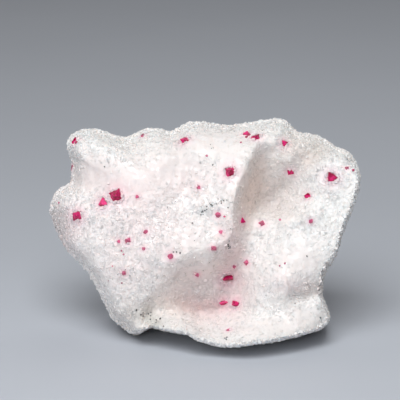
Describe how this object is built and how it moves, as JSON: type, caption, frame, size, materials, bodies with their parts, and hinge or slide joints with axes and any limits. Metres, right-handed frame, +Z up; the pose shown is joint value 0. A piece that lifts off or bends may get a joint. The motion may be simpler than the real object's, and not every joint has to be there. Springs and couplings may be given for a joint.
{
  "type": "spinel in marble",
  "caption": "Mineral specimen: a block of sugary white marble with red spinel octahedra grown in it, folded show face, flat resting base.",
  "frame": {"origin": "middle of the bounding box, at the bottom, on the surface that the block rests on", "axes": "+Z up; +X along the block's longest side, to the right seen from the show face; -Y towards the viewer of the show face"},
  "size_m": [0.0902, 0.0524, 0.0612],
  "materials": {
    "marble": "sugary, translucent white, faintly sparkling",
    "spinel": "vitreous, deep pinkish red, see-through in thin places"
  },
  "bodies": {
    "root": {"marble": "marble", "spinel_front_01": "spinel", "spinel_front_02": "spinel", "spinel_front_03": "spinel", "spinel_front_04": "spinel", "spinel_front_05": "spinel", "spinel_front_06": "spinel", "spinel_front_07": "spinel", "spinel_front_08": "spinel", "spinel_front_09": "spinel", "spinel_front_10": "spinel", "spinel_front_11": "spinel", "spinel_front_12": "spinel", "spinel_front_13": "spinel", "spinel_front_14": "spinel", "spinel_front_15": "spinel", "spinel_front_16": "spinel", "spinel_front_17": "spinel", "spinel_front_18": "spinel", "spinel_front_19": "spinel", "spinel_front_20": "spinel", "spinel_front_21": "spinel", "spinel_front_22": "spinel", "spinel_front_23": "spinel", "spinel_front_24": "spinel", "spinel_front_25": "spinel", "spinel_front_26": "spinel", "spinel_front_27": "spinel", "spinel_front_28": "spinel", "spinel_front_29": "spinel", "spinel_front_30": "spinel", "spinel_front_31": "spinel", "spinel_front_32": "spinel", "spinel_front_33": "spinel", "spinel_front_34": "spinel", "spinel_front_35": "spinel", "spinel_front_36": "spinel", "spinel_back_01": "spinel", "spinel_back_02": "spinel", "spinel_back_03": "spinel", "spinel_back_04": "spinel", "spinel_back_05": "spinel", "spinel_back_06": "spinel", "spinel_back_07": "spinel", "spinel_back_08": "spinel", "spinel_back_09": "spinel", "spinel_back_10": "spinel", "spinel_back_11": "spinel", "spinel_back_12": "spinel", "spinel_edge_01": "spinel", "spinel_edge_02": "spinel", "spinel_edge_03": "spinel", "spinel_edge_04": "spinel", "spinel_edge_05": "spinel", "spinel_edge_06": "spinel", "spinel_edge_07": "spinel"}
  },
  "joints": []
}
